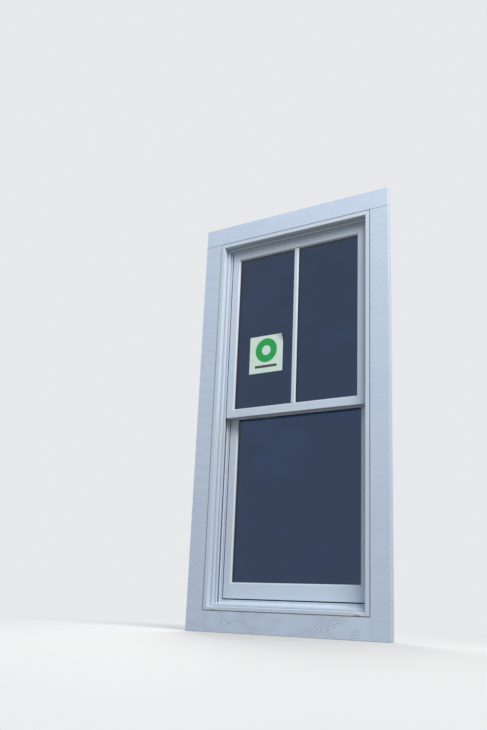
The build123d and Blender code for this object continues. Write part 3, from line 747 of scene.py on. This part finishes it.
def rolled_metal(name, tone, roughness, stretch, recess_shade=False):
    """Metal with rolling lines along it, and painted shade, near black, where its pieces mark a recess.
    """
    made, tree, surface = new_material(name, Metallic=1.0)
    base = placed(tree, clouding, Colour=tone, Second=scaled(tone, 0.8), Amount=0.5, Scale=30.0,
                  Roughness=roughness, Spread=0.16)
    lines = placed(tree, drawn_lines, Stretch=stretch, Depth=0.03 * MM)
    shown = base["Colour"]
    if recess_shade:
        # Painted shade: near black in the screw heads' shallow cross recess
        shown = blend_colours(tree, marked(tree, "recess"), shown, (0.05, 0.05, 0.05))
    feed(tree, surface, Base_Color=shown, Roughness=base["Roughness"], Normal=lines["Normal"])
    return made


def label_print(name, settings):
    """Film with a plain ring and a plain bar, placed by the sheet's own map."""
    made, tree, surface = new_material(name, Specular_IOR_Level=0.5)
    sheet = add(tree, "ShaderNodeUVMap", uv_map="sheet").outputs[0]
    across, up, _ = coordinates(tree, sheet)
    away = distance(tree, sheet, (0.5, 0.60, 0.0))
    rim, hole, soft = 0.319, 0.128, 0.006
    disc, inside = (minus(tree, 1.0, ramp(tree, away, r, r + soft)) for r in (rim, hole))
    bar = times(tree, calc(tree, "LESS_THAN", away_from(tree, across, 0.5), 0.33),
                calc(tree, "LESS_THAN", away_from(tree, up, 0.17), 0.035))
    base = placed(tree, clouding, Colour=settings.film, Second=scaled(settings.film, 0.9),
                  Amount=0.35, Scale=18.0, Roughness=0.33, Spread=0.12)
    tone = blend_colours(tree, minus(tree, disc, inside), base["Colour"], settings.mark)
    tone = blend_colours(tree, bar, tone, settings.bar)
    feed(tree, surface, Base_Color=tone, Roughness=base["Roughness"])
    return made


# Operators


class WINDOW_OT_emboss_casing(bpy.types.Operator):
    """Make the casing boards with their embossed grain and paint them"""

    bl_idname = "sash_window.emboss_casing"
    bl_label = "Emboss casing"

    def execute(self, context):
        settings = context.scene.sash_window.casing
        level_paint = board_paint("Board paint level", True, settings)
        upright_paint = board_paint("Board paint upright", False, settings)
        grain, leg = settings.grain_depth, settings.leg_depth
        # Node, paint, depth of the relief, share of the marks' colour, seed
        plans = (("casing_head", level_paint, grain * settings.head_share, settings.head_share, 11),
                 ("casing_apron", level_paint, grain, 1.0, 29),
                 ("casing_leg_left", upright_paint, leg, 1.0, 47),
                 ("casing_leg_right", upright_paint, leg, 1.0, 61))
        for node, paint, depth, shown, seed in plans:
            points, faces, smooth, marks = embossed_board(node, depth, settings, seed)
            board = make_piece(f"{node}_board", points, faces, "frame", "casing_paint", paint, smooth)
            for name, values in marks.items():
                mark(board, name, values * shown)
            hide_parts(node)
        return {"FINISHED"}


class WINDOW_OT_finish_vinyl(bpy.types.Operator):
    """Give the frame and sash extrusions their white vinyl skin"""

    bl_idname = "sash_window.finish_vinyl"
    bl_label = "Finish vinyl"

    def execute(self, context):
        settings = context.scene.sash_window.vinyl
        crown = box_of("frame_head").high
        outer, face = crown.x - FIN, crown.x - FIN - box_of("frame_jamb_right").low.x
        head_corner = [(outer, crown.z - FIN, face, face)]
        # Name, whether it lies level, its welded corners, its nodes
        skins = [("jamb", False, head_corner, pair("frame_jamb")),
                 ("head", True, head_corner, ["frame_head"]),
                 ("bar", False, [], ["upper_bar_outer", "upper_bar_inner"])]
        for sash, rails in (("upper", ("upper_meeting_rail", "upper_top_rail")),
                            ("lower", ("lower_bottom_rail", "lower_check_rail"))):
            stile = box_of(f"{sash}_stile_right")
            corners = [(stile.high.x, end, stile.size.x, box_of(rail).size.z)
                       for end, rail in zip((stile.low.z, stile.high.z), rails)]
            level_beads = [f"{sash}_bead_bottom", f"{sash}_bead_top"]
            skins += [(f"{sash} stiles", False, corners, pair(f"{sash}_stile")),
                      (f"{sash} rails", True, corners, rails),
                      (f"{sash} upright beads", False, corners, pair(f"{sash}_bead")),
                      (f"{sash} level beads", True, corners, level_beads)]
        for name, level, corners, nodes in skins:
            assign(vinyl_skin(f"Vinyl {name}", level, corners, settings), *nodes)
        assign(vinyl_skin("Vinyl sill", True, [], settings, dust=0.05), "frame_sill")
        return {"FINISHED"}


class WINDOW_OT_glaze(bpy.types.Operator):
    """Give the panes their glass and lay the soft lip between bead and glass"""

    bl_idname = "sash_window.glaze"
    bl_label = "Glaze"

    def execute(self, context):
        settings = context.scene.sash_window.glass
        glass = pane_glass("Tinted glass", settings)
        spacer = rolled_metal("Spacer metal", (0.50, 0.51, 0.52), 0.42, (60.0, 60.0, 60.0))
        lip = soft_plastic("Soft glazing lip", settings.seal, 0.5, 0.03 * MM, 900.0)
        for sash in SASHES:
            assign(glass, f"{sash}_glass_outer", f"{sash}_glass_inner")
            assign(spacer, f"{sash}_glass_spacer")
            make_piece(f"{sash}_glazing_lip", *self.lip_rings(sash, settings.seal_width),
                       f"{sash}_sash", "seal_rubber", lip, smooth=False)
        return {"FINISHED"}

    def lip_rings(self, sash, width):
        """Quarter-round rings in the corner of bead and pane, outdoors and indoors.

        Point (corner, k) lies inside the sight line by width * cos(t_k) and off the glass by
        width * sin(t_k), t from 0 to a quarter turn, closed through the corner itself.
        """
        left, right = box_of(f"{sash}_bead_left").high.x, box_of(f"{sash}_bead_right").low.x
        foot, top = box_of(f"{sash}_bead_bottom").high.z, box_of(f"{sash}_bead_top").low.z
        t = np.linspace(0, np.pi / 2, 5)
        inset, rise = np.append(width * np.cos(t), 0.0), np.append(width * np.sin(t), 0.0)
        sight = np.array([(left, foot), (right, foot), (right, top), (left, top)])
        inward = np.array([(1, 1), (-1, 1), (-1, -1), (1, -1)])
        flat = sight[:, None] + inward[:, None] * inset[:, None]
        faces = grid_faces(len(sight), len(inset), round_rows=True, round_columns=True)
        rings = []
        for plane, out in ((box_of(f"{sash}_glass_outer").low.y, -1),
                           (box_of(f"{sash}_glass_inner").high.y, 1)):
            y = np.broadcast_to(plane + out * rise, flat.shape[:2])
            points = np.stack([flat[..., 0], y, flat[..., 1]], axis=-1)
            rings.append((points.reshape(-1, 3), [faces]))
        return joined(rings)


class WINDOW_OT_stick_label(bpy.types.Operator):
    """Stick the film label on the upper left pane, with one loose corner"""

    bl_idname = "sash_window.stick_label"
    bl_label = "Stick label"

    def execute(self, context):
        settings = context.scene.sash_window.glass
        sheet = box_of("upper_label")
        count, fold, drawn_in, glue = 41, 1.72, 0.25, 0.02 * MM
        u, v = np.meshgrid(np.linspace(0, 1, count), np.linspace(0, 1, count), indexing="ij")
        # Lift off the glass: curl * (beyond / (2 - fold))^2, beyond = how far u + v passes the fold
        lift = settings.curl * (np.clip(u + v - fold, 0, None) / (2 - fold)) ** 2
        x = sheet.low.x + u * sheet.size.x - drawn_in * lift
        z = sheet.low.z + v * sheet.size.z - drawn_in * lift
        back = np.stack([x, sheet.high.y - glue - lift, z], axis=-1).reshape(-1, 3)
        front = back - sheet.size.y * ALONG_Y
        numbers = np.arange(count * count).reshape(count, count)
        rim = np.concatenate([numbers[:-1, 0], numbers[-1, :-1], numbers[:0:-1, -1], numbers[0, :0:-1]])
        behind = rim + count * count
        edge = np.stack([rim, np.roll(rim, -1), np.roll(behind, -1), behind], axis=-1)
        faces = [grid_faces(count, count), grid_faces(count, count, first=count * count), edge]
        label = make_piece("upper_label_film", np.concatenate([front, back]), faces, "upper_sash",
                           "label_film", label_print("Label film", settings))
        own = np.tile(np.stack([u, v], axis=-1).reshape(-1, 2), (2, 1))
        loops = np.zeros(len(label.data.loops), np.int32)
        label.data.loops.foreach_get("vertex_index", loops)
        label.data.uv_layers.new(name="sheet").data.foreach_set("uv", own[loops].ravel())
        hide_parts("upper_label")
        return {"FINISHED"}


class WINDOW_OT_fit_seals(bpy.types.Operator):
    """Make the pile strips and the hollow bulb seals"""

    bl_idname = "sash_window.fit_seals"
    bl_label = "Fit seals"

    def execute(self, context):
        settings = context.scene.sash_window.seals
        pile = soft_plastic("Pile fibre", settings.pile, 0.85, 0.1 * MM, 1500.0, clouds=0.8)
        rubber = soft_plastic("Seal rubber", settings.rubber, 0.55, 0.03 * MM, 1200.0)
        # Sash, its bulb seal, which way that one stands out, the tufts' seed
        for sash, bulb, up, seed in (("upper", "upper_head_bulb", 1, 5),
                                     ("lower", "lower_sill_bulb", -1, 6)):
            piece = make_piece(f"{sash}_pile", *self.pile_strips(sash, settings, seed),
                               f"{sash}_sash", "pile", pile, smooth=False)
            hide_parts(f"{sash}_pile_strips")
            seal = make_piece(f"{bulb}_hollow", *self.hollow_bulb(bulb, up, settings.bulb_wall),
                              f"{sash}_sash", "seal_rubber", rubber)
            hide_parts(bulb)
        return {"FINISHED"}

    def pile_strips(self, sash, settings, seed):
        """Backing strip with rows of tufts on both stiles.

        Tuft (i, j) is a three-sided spike: foot at step i along the strip and row j across it, tip
        at 0.9 to 1 of the pile's reach, moved by a seeded lean.
        """
        box, stile = box_of(f"{sash}_pile_strips"), box_of(f"{sash}_stile_right").high.x
        low, high = box.low, box.high
        reach, backing, foot_radius, stray = high.x - stile, settings.backing, 0.62 * MM, 0.28 * MM
        end_margin, row_margin, tip_margin = 1 * MM, 0.9 * MM, 0.1 * MM
        draw = np.random.default_rng(seed)
        z = np.arange(low.z + end_margin, high.z - end_margin, settings.tuft_pitch)
        y = np.linspace(low.y + row_margin, high.y - row_margin, settings.tuft_rows)
        foot_y, foot_z = (a.ravel() for a in np.meshgrid(y, z))
        lean = draw.normal(0, stray, (2, foot_y.size))
        tall = reach * draw.uniform(0.90, 1.0, foot_y.size)
        tip_y = np.clip(foot_y + lean[0], low.y + tip_margin, high.y - tip_margin)
        turn = np.array([0.5, 2.6, 4.7])
        sides = np.array([(0, 1, 3), (1, 2, 3), (2, 0, 3), (0, 2, 1)])
        tufts = (4 * np.arange(foot_y.size)[:, None] + sides[:, None]).reshape(-1, 3)
        parts = []
        for side in (-1, 1):
            edge = side * stile
            root = np.stack([np.full((foot_y.size, 3), edge + side * backing * 0.9),
                             foot_y[:, None] + foot_radius * np.cos(turn),
                             foot_z[:, None] + foot_radius * np.sin(turn)], axis=-1)
            tip = np.stack([edge + side * tall, tip_y, foot_z + lean[1]], axis=-1)[:, None]
            parts.append((np.concatenate([root, tip], axis=1).reshape(-1, 3), [tufts]))
            parts.append(upright_strip(box, edge + side * backing / 2, backing))
        return joined(parts)

    def hollow_bulb(self, node, up, wall):
        """Hollow D-shaped tube along the rail, its flat side on the rail.

        Outer line: y = half * cos t, z = foot + up * tall * (sin t)^0.6, t over half a turn, closed
        by the flat side. The inner line is the same, drawn in by the wall on every side.
        """
        low, high, middle, size = box_of(node)
        foot = low.z if up > 0 else high.z
        t = np.linspace(0, np.pi, 15)
        inset = np.array([0.0, wall])[:, None]
        y = middle.y + (size.y / 2 - inset) * np.cos(t)
        z = foot + up * (inset + (size.z - 2 * inset) * np.clip(np.sin(t), 0, 1) ** 0.6)
        lines = np.stack([y, z], axis=-1)
        # Point (end, line, step) has the number (2 * end + line) * count + step
        count = len(t)
        points = np.array([np.insert(lines, 0, x, axis=-1) for x in (low.x, high.x)]).reshape(-1, 3)
        here = np.arange(count)
        there = np.roll(here, -1)
        faces = [np.stack([here, there, there + 2 * count, here + 2 * count], axis=-1) + shift
                 for shift in (0, count)]
        faces += [np.stack([here, there, there + count, here + count], axis=-1) + shift
                  for shift in (0, 2 * count)]
        return points, faces


class WINDOW_OT_finish_hardware(bpy.types.Operator):
    """Finish the lock, keeper, latches and weep hoods, and drive their screws"""

    bl_idname = "sash_window.finish_hardware"
    bl_label = "Finish hardware"

    def execute(self, context):
        settings = context.scene.sash_window.hardware
        enamel = soft_plastic("Lock enamel", settings.enamel, 0.24, 0.02 * MM, 700.0)
        moulded = soft_plastic("Moulded white", settings.moulded, 0.42, 0.03 * MM, 1100.0)
        zinc = rolled_metal("Screw zinc", settings.zinc, 0.33, (300.0, 300.0, 300.0), recess_shade=True)
        latches = pair("upper_latch") + pair("lower_latch")
        assign(enamel, "lock_housing", "lock_lever", "upper_keeper")
        assign(moulded, "sill_weep_covers", *latches)
        lock, keeper = box_of("lock_housing"), box_of("upper_keeper")
        behind_middle, keeper_plate, keeper_rise = 3 * MM, 2 * MM, 20 * MM
        # Piece, body, how far its screws are off the middle, their y, z and facing, a head's height
        plans = (("lock_screws", "lower_sash", 22 * MM, lock.middle.y + behind_middle, lock.high.z,
                  ALONG_Z, 0.2 * MM),
                 ("keeper_screws", "upper_sash", 15 * MM, keeper.low.y + keeper_plate,
                  keeper.low.z + keeper_rise, ALONG_Y, 1.1 * MM))
        for name, body, off, y, z, out, tall in plans:
            made = [self.screw_head((side * off, y, z), out, settings.screw_radius, tall)
                    for side in (-1, 1)]
            piece = make_piece(name, *joined([m[:2] for m in made]), body, "lock_enamel", zinc)
            # The recess mark gives the painted shade in the cross recess
            mark(piece, "recess", np.concatenate([m[2] for m in made]))
        for latch in latches:
            make_piece(f"{latch}_grip", *self.finger_ribs(latch, settings.ribs), latch,
                       "moulded_white", moulded)
        return {"FINISHED"}

    def screw_head(self, place, out, radius, tall):
        """Domed screw head with a cross recess, its flat side on place and facing out.

        Height at (x, y) = tall * sqrt(1 - (0.93 r / radius)^2), r being the way from the middle, and
        a tenth of it in the recess, where |x| or |y| is under 0.13 radius and r is under 0.55
        radius. The last of the three results is 1 at the recess's points, which get painted shade.
        """
        rings = [0.08, 0.13, 0.2, 0.3, 0.42, 0.52, 0.58, 0.7, 0.85, 0.95, 1.0, 1.0]
        count = 48
        x, y, faces = disc(radius * np.array(rings), count)
        r = np.hypot(x, y)
        recess = (np.minimum(np.abs(x), np.abs(y)) < 0.13 * radius) & (r < 0.55 * radius)
        z = tall * np.sqrt(1 - (0.93 * r / radius) ** 2) * np.where(recess, 0.1, 1.0)
        # The last ring is the rim of the flat side
        z[-count:] = 0.0
        faces.append(fan(range(len(x) - count, len(x)), True))
        turn = np.array(Vector(out).to_track_quat("Z", "Y").to_matrix())
        points = np.stack([x, y, z], axis=-1) @ turn.T + np.array(place)
        return points, faces, recess.astype(float)

    def finger_ribs(self, latch, count):
        """Half-round ribs across a latch's finger piece.

        Profile: (0.45 cos t, 0.4 sin t) mm over half a turn, carried over the finger's width.
        """
        sash, _, side = latch.split("_")
        box, stile = box_of(latch), box_of(f"{sash}_stile_{side}")
        sign, edge = (-1, stile.low.x) if side == "left" else (1, stile.high.x)
        run, out = (ALONG_Y, ALONG_Z) if sash == "lower" else (ALONG_Z, ALONG_Y)
        nearest, farthest, rib_half = 24 * MM, 40 * MM, 3.5 * MM
        t = np.linspace(0, np.pi, 9)
        profile = np.stack([0.45 * MM * np.cos(t), 0.4 * MM * np.sin(t)], axis=-1)
        place = np.array(box.middle) + np.array(box.size) / 2 * out
        ribs = []
        for x in edge - sign * np.linspace(nearest, farthest, count):
            place[0] = x
            path = np.array([place - rib_half * run, place + rib_half * run])
            ribs.append(carried(profile, path, ALONG_X, out))
        return joined(ribs)


class WINDOW_OT_wind_balances(bpy.types.Operator):
    """Wind the springs, run their strips to the anchors and finish carriers and pivots"""

    bl_idname = "sash_window.wind_balances"
    bl_label = "Wind balances"

    def execute(self, context):
        settings = context.scene.sash_window.hardware
        steel = rolled_metal("Spring steel", settings.steel, 0.28, (500.0, 500.0, 6.0))
        zinc = rolled_metal("Zinc plate", settings.zinc, 0.4, (220.0, 220.0, 220.0))
        carrier = soft_plastic("Carrier plastic", settings.carrier, 0.5, 0.04 * MM, 900.0)
        assign(zinc, "balance_anchors")
        for sash in SASHES:
            assign(zinc, *pair(f"{sash}_pivot"))
            assign(carrier, *pair(f"{sash}_carrier"))
            for node in pair(f"{sash}_coil"):
                coil = make_piece(f"{node}_wound", *self.wound_spring(node, settings),
                                  f"{sash}_sash", "spring_steel", steel, smooth=False)
                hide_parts(node)
            self.strips(sash, settings.strip, steel)
        return {"FINISHED"}

    def wound_spring(self, node, settings):
        """Strip wound in a spiral: radius = bore + (rim - bore) * angle / (2 pi turns)."""
        box, turns, bore = box_of(node), settings.coil_turns, settings.coil_bore
        angle = np.linspace(0, 2 * np.pi * turns, 36 * turns)
        pitch = (box.size.x / 2 - bore) / turns
        thick = 0.72 * pitch
        radius = bore + pitch * angle / (2 * np.pi)
        out = np.stack([np.cos(angle), np.zeros_like(angle), np.sin(angle)], axis=-1)
        path = np.array(box.middle) + out * (radius - thick / 2)[:, None]
        return carried(oblong(thick / 2, box.size.y / 2), path, out, ALONG_Y)

    def strips(self, sash, thick, steel):
        """Flat strips from both coils to their anchors, which lengthen or shorten with the sash."""
        node = f"{sash}_balance_tapes"
        box = box_of(node)
        low, high = box.low, box.high
        parts = [upright_strip(box, x, thick, rows=60)
                 for x in (low.x + thick / 2, high.x - thick / 2)]
        body = None if sash == "upper" else "frame"
        strip = make_piece(f"{node}_strip", *joined(parts), body, "spring_steel", steel, smooth=False)
        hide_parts(node)
        if sash == "upper":
            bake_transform(strip)
        else:
            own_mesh(strip)


class WINDOW_OT_set_studio(bpy.types.Operator):
    """Set the floor, the lamps, the surround and the camera"""

    bl_idname = "sash_window.set_studio"
    bl_label = "Set studio"

    def execute(self, context):
        settings = context.scene.sash_window.studio
        context.scene.view_settings.view_transform = "Standard"
        self.lay_floor(settings)
        self.light_surround(context, settings)
        # Name, place, size, power and colour
        lamps = (("Key lamp", (3.5, -2.5, 4.3), 2.8, settings.key, (1.0, 0.955, 0.89)),
                 ("Side lamp", (-4.2, -1.5, 1.6), 1.8, settings.side, (0.88, 0.93, 1.0)),
                 ("Room lamp", (-2.8, 3.4, 2.6), 2.0, 0.3 * settings.key, (1.0, 0.99, 0.97)))
        for lamp in lamps:
            self.hang_lamp(*lamp)
        self.place_camera(context, settings)
        return {"FINISHED"}

    def lay_floor(self, settings):
        """Round floor that passes into the surround's colour away from the window."""
        made, tree, surface = new_material("Pale floor", Roughness=0.7)
        fade = ramp(tree, distance(tree, object_place(tree), (0, 0, 0)), 1.4, 4.2)
        seen = seen_rays(tree)
        feed(tree, surface, Base_Color=blend_colours(tree, seen, settings.bounce, settings.floor))
        glow = add(tree, "ShaderNodeEmission", {"Color": settings.surround, "Strength": 1.0})
        mixed = add(tree, "ShaderNodeMixShader", {0: times(tree, fade, seen), 1: surface.outputs[0],
                                                  2: glow.outputs[0]})
        tree.links.new(mixed.outputs[0], tree.nodes["Material Output"].inputs["Surface"])
        x, y, faces = disc((1.0, 2.0, 3.0, 4.5, 30.0), 64)
        points = np.stack([x, y, np.full_like(x, CAD_BOX[0].z - 0.2 * MM)], axis=-1)
        new_object("studio_floor", points, faces, made)

    def light_surround(self, context, settings):
        """Even light, and the pale surround that the camera, gloss and glass see."""
        world = bpy.data.worlds.new("Studio surround")
        context.scene.world = world
        world.use_nodes = True
        tree = world.node_tree
        tree.nodes.clear()
        even, pale = (add(tree, "ShaderNodeBackground", {"Color": tone, "Strength": level}).outputs[0]
                      for tone, level in ((settings.sky, settings.ambient), (settings.surround, 1.0)))
        last = add(tree, "ShaderNodeMixShader", {0: seen_rays(tree), 1: even, 2: pale})
        add(tree, "ShaderNodeOutputWorld", {"Surface": last.outputs[0]})

    def hang_lamp(self, name, place, size, power, tone):
        """Large square lamp that faces the window's middle."""
        lamp = bpy.data.lights.new(name, "AREA")
        lamp.size, lamp.energy, lamp.color = size, power, tone
        holder = bpy.data.objects.new(name, lamp)
        holder.location = place
        holder.rotation_euler = (-Vector(place)).to_track_quat("-Z", "Y").to_euler()
        holder.visible_camera = holder.visible_transmission = False
        bpy.context.scene.collection.objects.link(holder)

    def place_camera(self, context, settings):
        """Camera solved from the casing's corners: its right, up and back, and its place."""
        place = (1.841, -3.095, -0.869)
        right = Vector((0.83397, 0.55021, 0.04202)).normalized()
        back = Vector((0.53800, -0.79380, -0.28361))
        back = (back - right * back.dot(right)).normalized()
        up = back.cross(right)
        camera = bpy.data.cameras.new("Camera")
        camera.lens, camera.sensor_width, camera.sensor_fit = settings.focal, 36.0, "AUTO"
        camera.clip_start, camera.clip_end = 0.05, 100.0
        holder = bpy.data.objects.new("Camera", camera)
        turn = Matrix((right, up, back)).transposed().to_4x4()
        holder.matrix_world = Matrix.Translation(place) @ turn
        context.scene.collection.objects.link(holder)
        context.scene.camera = holder


class WINDOW_PT_panel(bpy.types.Panel):
    """Steps that dress the window"""

    bl_idname = "WINDOW_PT_panel"
    bl_label = "Sash window"
    bl_space_type = "VIEW_3D"
    bl_region_type = "UI"
    bl_category = "Window"

    def draw(self, context):
        settings = context.scene.sash_window
        for step in STEPS:
            self.layout.operator(step.bl_idname)
        for group in ("casing", "vinyl", "glass", "seals", "hardware", "studio"):
            box = self.layout.box()
            part = getattr(settings, group)
            for name in part.bl_rna.properties.keys():
                if name not in ("rna_type", "name"):
                    box.prop(part, name)


STEPS = (WINDOW_OT_set_studio, WINDOW_OT_emboss_casing, WINDOW_OT_finish_vinyl, WINDOW_OT_glaze,
         WINDOW_OT_stick_label, WINDOW_OT_fit_seals, WINDOW_OT_finish_hardware,
         WINDOW_OT_wind_balances)
CLASSES = (CasingSettings, VinylSettings, GlassSettings, SealSettings, HardwareSettings,
           StudioSettings, WindowSettings, *STEPS, WINDOW_PT_panel)


def register():
    """Registers the settings, the steps and the panel."""
    for kind in CLASSES:
        bpy.utils.register_class(kind)
    bpy.types.Scene.sash_window = PointerProperty(type=WindowSettings)


def unregister():
    """Takes them out again."""
    del bpy.types.Scene.sash_window
    for kind in reversed(CLASSES):
        bpy.utils.unregister_class(kind)


def main():
    """Runs every step in order."""
    register()
    for step in STEPS:
        group, name = step.bl_idname.split(".")
        getattr(getattr(bpy.ops, group), name)()


if __name__ == "__main__":
    main()
